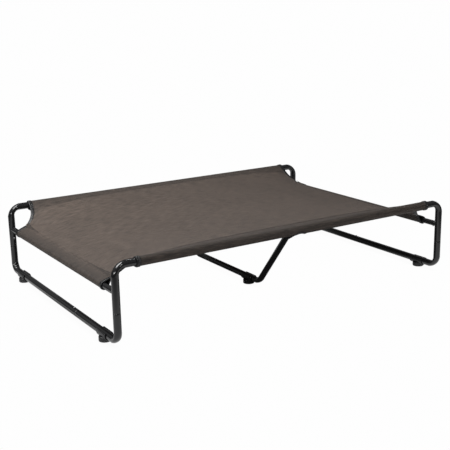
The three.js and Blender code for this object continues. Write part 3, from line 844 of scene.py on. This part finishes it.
def loop_section(height, slope, strip, loop_r, seam, rows):
    """Section of a sleeve, as (u inwards from the tube's axis, w above it): down the sheet, round the
    tube and back to the seam below. height and slope are the sheet's at u = strip; rows counts the
    points on the way down, round and back."""
    far = math.hypot(strip, height)
    top = math.atan2(height, strip) + math.acos(loop_r / far)
    under_w = height + slope * (seam - strip) - CLOTH * 1.15
    below = math.hypot(seam, under_w)
    low = math.atan2(under_w, seam) - math.acos(min(0.999, loop_r / below)) + 2 * math.pi
    first = np.array([strip, height])
    last = loop_r * np.array([math.cos(top), math.sin(top)])
    span = np.linalg.norm(first - last)
    way_in = np.array([-1.0, -slope]) / math.hypot(1, slope)
    way_out = np.array([-math.sin(top), math.cos(top)])
    t = np.linspace(0, 1, rows[0])[:, None]
    down = ((2 * t ** 3 - 3 * t ** 2 + 1) * first + (t ** 3 - 2 * t ** 2 + t) * way_in * span
            + (3 * t ** 2 - 2 * t ** 3) * last + (t ** 3 - t ** 2) * way_out * span)
    a = np.linspace(top, low, rows[1])[1:]
    droop = 1 + 0.07 * np.clip(-np.sin(a), 0, 1)
    round_it = loop_r * np.stack([np.cos(a), np.sin(a) * droop], 1)
    tail = np.array([seam + 0.006, height + slope * (seam + 0.006 - strip) - CLOTH * 1.15])
    seam_at = np.array([seam, under_w])
    t = np.linspace(0, 1, rows[2])[1:, None]
    back = round_it[-1] + (seam_at - round_it[-1]) * t
    return np.vstack([down, round_it, back, tail])


def slope_of(x, y, dx, dy):
    h = 1e-4
    return (taut(x + dx * h, y + dy * h) - taut(x - dx * h, y - dy * h)) / (2 * h)


RAIL_ROWS, END_ROWS = (8, 19, 5), (8, 17, 5)


def rail_section(x, sign):
    y = sign * (HALF_WIDTH - RAIL_STRIP)
    slope = -sign * slope_of(x, y, 0, 1)
    return loop_section(taut(x, y) - RAIL_Z, slope, RAIL_STRIP, RAIL_LOOP_R, RAIL_SEAM, RAIL_ROWS)


def end_section(y, sign):
    x = sign * (HALF_LENGTH - END_STRIP)
    slope = -sign * slope_of(x, y, 1, 0)
    return loop_section(taut(x, y) - CROSS_Z, slope, END_STRIP, END_LOOP_R, END_SEAM, END_ROWS)


def arc_length(points):
    return np.concatenate([[0], np.cumsum(np.linalg.norm(np.diff(points, axis=0), axis=1))])


def sheet_rows():
    """Y of the rows between the rail strips, with a row where each cut-out passes the end strip."""
    outer = HALF_WIDTH - RAIL_STRIP
    return np.concatenate([np.linspace(-outer, -CORNER_Y, 5), np.linspace(-CORNER_Y, CORNER_Y, 101)[1:-1],
                           np.linspace(CORNER_Y, outer, 5)])


class Cloth:
    """Vertices by key, with the place of each on the flat cut sheet and how much it is darkened over a tube:
    partly the doubled cloth and the black tube behind the mesh, partly painted shade.
    """

    def __init__(self):
        self.places, self.flat, self.doubled, self.faces, self.at = [], [], [], [], {}

    def add(self, key, place, flat, doubled):
        self.at[key] = len(self.places)
        self.places.append(np.array(place, float))
        self.flat.append(flat)
        self.doubled.append(doubled)

    def quad(self, *keys):
        self.faces.append(tuple(self.at[k] for k in keys))


def add_middle(cloth, ys, shares):
    for j, y in enumerate(ys):
        x = shares * min(HALF_LENGTH - END_STRIP, float(edge_x(y)))
        z = taut(x, np.full_like(x, y)) + folds(x, np.full_like(x, y))
        # the rail strip's edge row starts the sleeve darkening, partly doubled cloth and partly painted shade
        doubled = 0.45 if abs(y) > HALF_WIDTH - RAIL_STRIP - 1e-6 else 0.0
        for i in range(len(shares)):
            cloth.add(("a", i, j), (x[i], y, z[i]), (x[i], y), doubled)
    for j in range(len(ys) - 1):
        for i in range(len(shares) - 1):
            cloth.quad(("a", i, j), ("a", i + 1, j), ("a", i + 1, j + 1), ("a", i, j + 1))


def rail_point(x, s, sign):
    """A point on the sleeve by X and by the distance round it from the start of its strip."""
    section = rail_section(x, sign)
    run = arc_length(section)
    u, w = np.interp(s, run, section[:, 0]), np.interp(s, run, section[:, 1])
    return np.array((x, sign * (HALF_WIDTH - u), RAIL_Z + w))


def notch_span(sign):
    """Where the notch begins and ends round the sleeve: from its outer face to near the seam."""
    section = rail_section(MIDDLE_X, sign)
    run = arc_length(section)
    outer = next(t for t in range(RAIL_ROWS[0], len(run)) if section[t][0] < 0 and section[t][1] < NOTCH_TOP)
    return run[outer], run[-2] - 0.004


def add_rail_strip(cloth, sign, row, shares):
    """The cloth over a rail: down from the sheet, round the tube and back to the seam."""
    steps = sum(RAIL_ROWS) - 1
    for i, share in enumerate(shares):
        cloth.at["r", sign, i, 0] = cloth.at["a", i, row]
        for t in range(1, steps):
            inward = max(0.0, rail_section(share * RAIL_END_X, sign)[t][0]) if t < RAIL_ROWS[0] else 0.0
            x = share * (float(edge_x(HALF_WIDTH - inward)) if inward else RAIL_END_X)
            section = rail_section(x, sign)
            u, w = section[t]
            s = arc_length(section)[t]
            lift = 0.0
            if t < RAIL_ROWS[0]:
                lift = folds(x, sign * (HALF_WIDTH - u)) * (1 - t / RAIL_ROWS[0])
            # darker round the tube: doubled cloth over the black tube, and painted shade on the sleeve
            cloth.add(("r", sign, i, t), (x, sign * (HALF_WIDTH - u), RAIL_Z + w + lift),
                      (x, sign * (HALF_WIDTH - RAIL_STRIP + s)), 0.45 + 0.55 * min(1.0, t / RAIL_ROWS[0]))
    start, end = notch_span(sign)
    middle, half = (start + end) / 2, (end - start) / 2
    lost, kept, offsets = set(), set(), {}
    for i in range(len(shares) - 1):
        for t in range(steps - 1):
            corners = [("r", sign, i + a, t + b) for a, b in ((0, 0), (1, 0), (1, 1), (0, 1))]
            near = abs(shares[i] * RAIL_END_X - MIDDLE_X) < 0.08
            if near:
                for key in corners:
                    x = shares[key[2]] * RAIL_END_X
                    s = arc_length(rail_section(x, sign))[key[3]]
                    offsets[key] = np.array([(x - MIDDLE_X) / NOTCH_HALF, (s - middle) / half])
                if np.linalg.norm(sum(offsets[key] for key in corners) / 4) < 1:
                    lost.update(corners)
                    continue
                kept.update(corners)
            cloth.quad(*(corners if sign > 0 else corners[::-1]))
    rim = []
    for key in lost & kept:
        off = offsets[key] / np.linalg.norm(offsets[key])
        x, s = MIDDLE_X + NOTCH_HALF * off[0], middle + half * off[1]
        index = cloth.at[key]
        cloth.places[index] = rail_point(x, s, sign)
        cloth.flat[index] = (x, sign * (HALF_WIDTH - RAIL_STRIP + s))
        rim.append((math.atan2(off[1], off[0]), index))
    return [index for _, index in sorted(rim)]


def add_end_strip(cloth, sign, column, ys):
    """The cloth over a cross tube, between the two cut-outs."""
    steps = sum(END_ROWS) - 1
    for j in range(CORNER_ROW, len(ys) - CORNER_ROW):
        cloth.at["e", sign, j, 0] = cloth.at["a", column, j]
        for t in range(1, steps):
            inward = max(0.0, end_section(ys[j], sign)[t][0]) if t < END_ROWS[0] else 0.0
            y = ys[j] / CORNER_Y * (float(edge_y(HALF_LENGTH - inward)) if inward else CROSS_END_Y)
            section = end_section(y, sign)
            u, w = section[t]
            s = arc_length(section)[t]
            lift = 0.0
            if t < END_ROWS[0]:
                lift = folds(sign * (HALF_LENGTH - u), y) * (1 - t / END_ROWS[0])
            # darker round the tube: doubled cloth over the black tube, and painted shade on the sleeve
            cloth.add(("e", sign, j, t), (sign * (HALF_LENGTH - u), y, CROSS_Z + w + lift),
                      (sign * (HALF_LENGTH - END_STRIP + s), y), 0.45 + 0.55 * min(1.0, t / END_ROWS[0]))
    for j in range(CORNER_ROW, len(ys) - 1 - CORNER_ROW):
        for t in range(steps - 1):
            corners = [("e", sign, j + a, t + b) for a, b in ((0, 0), (0, 1), (1, 1), (1, 0))]
            cloth.quad(*(corners if sign > 0 else corners[::-1]))


def cut_edge(cloth, sx, sy, ys, columns):
    """Vertices along a cut-out: round the rail, down the sheet's edge and round the cross tube."""
    column = 0 if sx < 0 else columns - 1
    rows = range(CORNER_ROW + 1) if sy < 0 else range(len(ys) - 1, len(ys) - 2 - CORNER_ROW, -1)
    edge = [cloth.at["r", sy, column, t] for t in range(sum(RAIL_ROWS) - 4, 0, -1)]
    edge += [cloth.at["a", column, j] for j in rows]
    corner = CORNER_ROW if sy < 0 else len(ys) - 1 - CORNER_ROW
    return edge + [cloth.at["e", sx, corner, t] for t in range(1, sum(END_ROWS) - 3)]


def spaced(points, step, closed=False):
    """The same line with even spacing, rounded between its points."""
    points = np.array(points)
    if closed:
        points = np.vstack([points[-2:], points, points[:3]])
    run = arc_length(points)
    ahead = np.gradient(points, run, axis=0)
    low, high = (run[2], run[len(points) - 3]) if closed else (0, run[-1])
    wanted = np.linspace(low, high, max(8, round((high - low) / step)) + 1)
    if closed:
        wanted = wanted[:-1]
    k = np.clip(np.searchsorted(run, wanted, side="right") - 1, 0, len(points) - 2)
    span = (run[k + 1] - run[k])[:, None]
    t = ((wanted - run[k]) / (run[k + 1] - run[k]))[:, None]
    return ((2 * t ** 3 - 3 * t ** 2 + 1) * points[k] + (t ** 3 - 2 * t ** 2 + t) * ahead[k] * span
            + (3 * t ** 2 - 2 * t ** 3) * points[k + 1] + (t ** 3 - t ** 2) * ahead[k + 1] * span)


def tape_profile(width, thick):
    """Rolled tape: fat over the cut edge and thinner at its inner edge, as (inwards, above the cloth)."""
    shape = []
    for a in around(20):
        c, q = math.cos(a), math.sin(a)
        shape.append((width * (0.5 + 0.5 * math.copysign(abs(c) ** 0.8, c)) - 0.0016,
                      thick * (1 - 0.28 * c) * math.copysign(abs(q) ** 0.8, q) + 0.0004))
    return shape


def tape_along(edge, normals, away, size, closed=False):
    """Tape sewn over an edge: its faces, and a line for the stitches on it. away is a place off the cloth."""
    width, thick = size
    centre = spaced(edge, 0.0035, closed)
    cloth_up = resampled(edge, normals, centre)
    up = cloth_up
    ahead = np.roll(centre, -1, 0) - np.roll(centre, 1, 0)
    if not closed:
        ahead[0], ahead[-1] = centre[1] - centre[0], centre[-1] - centre[-2]
    ahead /= np.linalg.norm(ahead, axis=1)[:, None]
    inwards = np.cross(up, ahead)
    inwards /= np.linalg.norm(inwards, axis=1)[:, None]
    middle = len(centre) // 2
    if np.dot(inwards[middle], centre[middle] - np.array(away)) < 0:
        inwards = -inwards
    up = np.cross(ahead, inwards)
    if np.dot(up[middle], cloth_up[middle]) < 0:
        up = -up
    profile = tape_profile(width, thick)
    run = arc_length(centre)
    rings = [[centre[k] + inwards[k] * u + up[k] * w for u, w in profile] for k in range(len(centre))]
    uv = [(run[k], m * 0.0012) for k in range(len(centre)) for m in range(len(profile))]
    verts, faces = ring_surface(rings, closed=closed, caps=not closed)
    line = centre + inwards * (width - 0.0042) + up * (thick * 0.80 + 0.0004)
    return (verts, faces), uv, (line, ahead, up)


def resampled(edge, normals, centre):
    """Normals at the new points, mostly from the nearest old ones."""
    gap = np.linalg.norm(centre[:, None] - edge[None], axis=2)
    found = (1 / (gap + 1e-4) ** 3) @ normals
    return found / np.linalg.norm(found, axis=1)[:, None]


def stitches(line, ahead, up):
    """Thread that shows above the cloth as a row of short rounded lengths."""
    run = arc_length(line)
    parts = []
    for k in range(int(run[-1] / STITCH)):
        s = (k + 0.5) * STITCH
        c, d, n = (np.array([np.interp(s, run, values[:, m]) for m in range(3)])
                   for values in (line, ahead, up))
        side = np.cross(n, d)
        rings = []
        for off, rise, fat in ((-0.00135, -0.0003, 0.0002), (-0.0007, 0.00018, 0.00036),
                               (0.0007, 0.00018, 0.00036), (0.00135, -0.0003, 0.0002)):
            rings.append([c + d * off + n * (rise + fat * math.sin(b)) + side * fat * math.cos(b)
                          for b in (0.3, 1.56, 2.81, 4.07, 5.33)])
        parts.append(ring_surface(rings, caps=True))
    return parts


def seam_lines(sign, along_rail):
    """Two lines on top of the cloth and two below, beside a sleeve's seam."""
    lines = []
    rail_lines, end_lines = (RAIL_SEAM - 0.003, RAIL_SEAM + 0.003), (END_SEAM - 0.0015, END_SEAM + 0.0035)
    reach = 0.598 if along_rail else 0.372
    for inset_by in rail_lines if along_rail else end_lines:
        at = np.linspace(-reach, reach, 240)
        if along_rail:
            x, y = at, np.full_like(at, sign * (HALF_WIDTH - inset_by))
            z = []
            for v in at:
                section = rail_section(v, sign)[:RAIL_ROWS[0]][::-1]
                z.append(RAIL_Z + np.interp(inset_by, section[:, 0], section[:, 1]))
            z = np.array(z) + folds(x, y) * 0.85
            ahead = np.array([1.0, 0, 0])
        else:
            x, y = np.full_like(at, sign * (HALF_LENGTH - inset_by)), at
            z = taut(x, y) + folds(x, y)
            ahead = np.array([0, 1.0, 0])
        for above in (1, -1):
            off = CLOTH / 2 + 0.0001 if above > 0 else -CLOTH * 1.75
            line = np.stack([x, y, z + off], 1)
            lines.append((line, np.tile(ahead, (len(at), 1)), np.tile([0, 0, float(above)], (len(at), 1))))
    return lines


NOTCH_COLUMNS = (MIDDLE_X + np.linspace(-0.04, 0.04, 29)) / RAIL_END_X
COLUMNS = np.unique(np.round(np.concatenate([np.linspace(-1, 1, 151), NOTCH_COLUMNS]), 5))
CORNER_ROW = 4


def make_cloth():
    cloth, ys = Cloth(), sheet_rows()
    columns = len(COLUMNS)
    add_middle(cloth, ys, COLUMNS)
    rims = {sign: add_rail_strip(cloth, sign, row, COLUMNS) for sign, row in ((-1, 0), (1, len(ys) - 1))}
    for sign, column in ((-1, 0), (1, columns - 1)):
        add_end_strip(cloth, sign, column, ys)
    used = sorted({i for face in cloth.faces for i in face})
    new = {old: k for k, old in enumerate(used)}
    places = np.array([cloth.places[i] for i in used])
    faces = [tuple(new[i] for i in face) for face in cloth.faces]
    made = make_object("sling_cloth", places, faces, fabric, crease=60, uv=[cloth.flat[i] for i in used])
    # darkening of the sleeves for the fabric: partly doubled cloth over a tube, partly painted shade
    layer = made.data.attributes.new("doubled", "FLOAT", "POINT")
    layer.data.foreach_set("value", np.array([cloth.doubled[i] for i in used], np.float32))
    normals = np.array([list(v.normal) for v in made.data.vertices])
    top = np.argmin(np.abs(places[:, 0]) + np.abs(places[:, 1]))
    if normals[top][2] < 0:
        normals = -normals
    thick = made.modifiers.new("thickness", "SOLIDIFY")
    thick.thickness = CLOTH
    thick.offset = 0
    finish_piece(made, "sling")
    sewn, threads = [], []
    for sx, side in ((-1, "left"), (1, "right")):
        for sy, end in ((-1, "front"), (1, "back")):
            edge = [new[i] for i in cut_edge(cloth, sx, sy, ys, columns)]
            away = (sx * HALF_LENGTH, sy * HALF_WIDTH, 0.22)
            part, uv, line = tape_along(places[edge], normals[edge], away, CORNER_TAPE)
            node = f"corner_binding_{end}_{side}"
            piece = make_object(node + "_tape", *part, tape, uv=uv)
            finish_piece(piece, node)
            sewn.append(piece)
            threads += stitches(*line)
    for sign, end in ((-1, "front"), (1, "back")):
        rim = [new[i] for i in rims[sign]]
        away = places[rim].mean(0) - normals[rim].mean(0) * 0.001
        part, uv, line = tape_along(places[rim], normals[rim], away, NOTCH_TAPE, closed=True)
        piece = make_object(f"notch_{end}_tape", *part, tape, uv=uv)
        ride_as(piece)
        sewn.append(piece)
    for sign in (-1, 1):
        for along_rail in (True, False):
            for line in seam_lines(sign, along_rail):
                threads += stitches(*line)
    piece = make_object("sling_thread", *joined(*threads), cotton)
    ride_as(piece)
    sewn.append(piece)
    return made


# ---- build

paint, steel, plastic = painted_steel(), bare_steel(), moulded_plastic()
fabric, tape, cotton = mesh_fabric(), binding_tape(), thread()
make_camera()
make_lights()
make_floor()
for piece_side in SIDES:
    for piece_end in ENDS:
        make_rail(piece_side, piece_end)
        make_floor_tube(piece_side, piece_end)
    make_cross_tube(piece_side)
for piece_end in ENDS:
    make_connector(piece_end)
    make_middle_support(piece_end)
make_buttons()
make_feet()
cloth = make_cloth()
for name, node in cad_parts.items():
    if not node.hide_render:
        node.data.materials.clear()
        node.data.materials.append(steel if name.startswith("spring") else tape)
bpy.context.scene.view_settings.view_transform = "Standard"
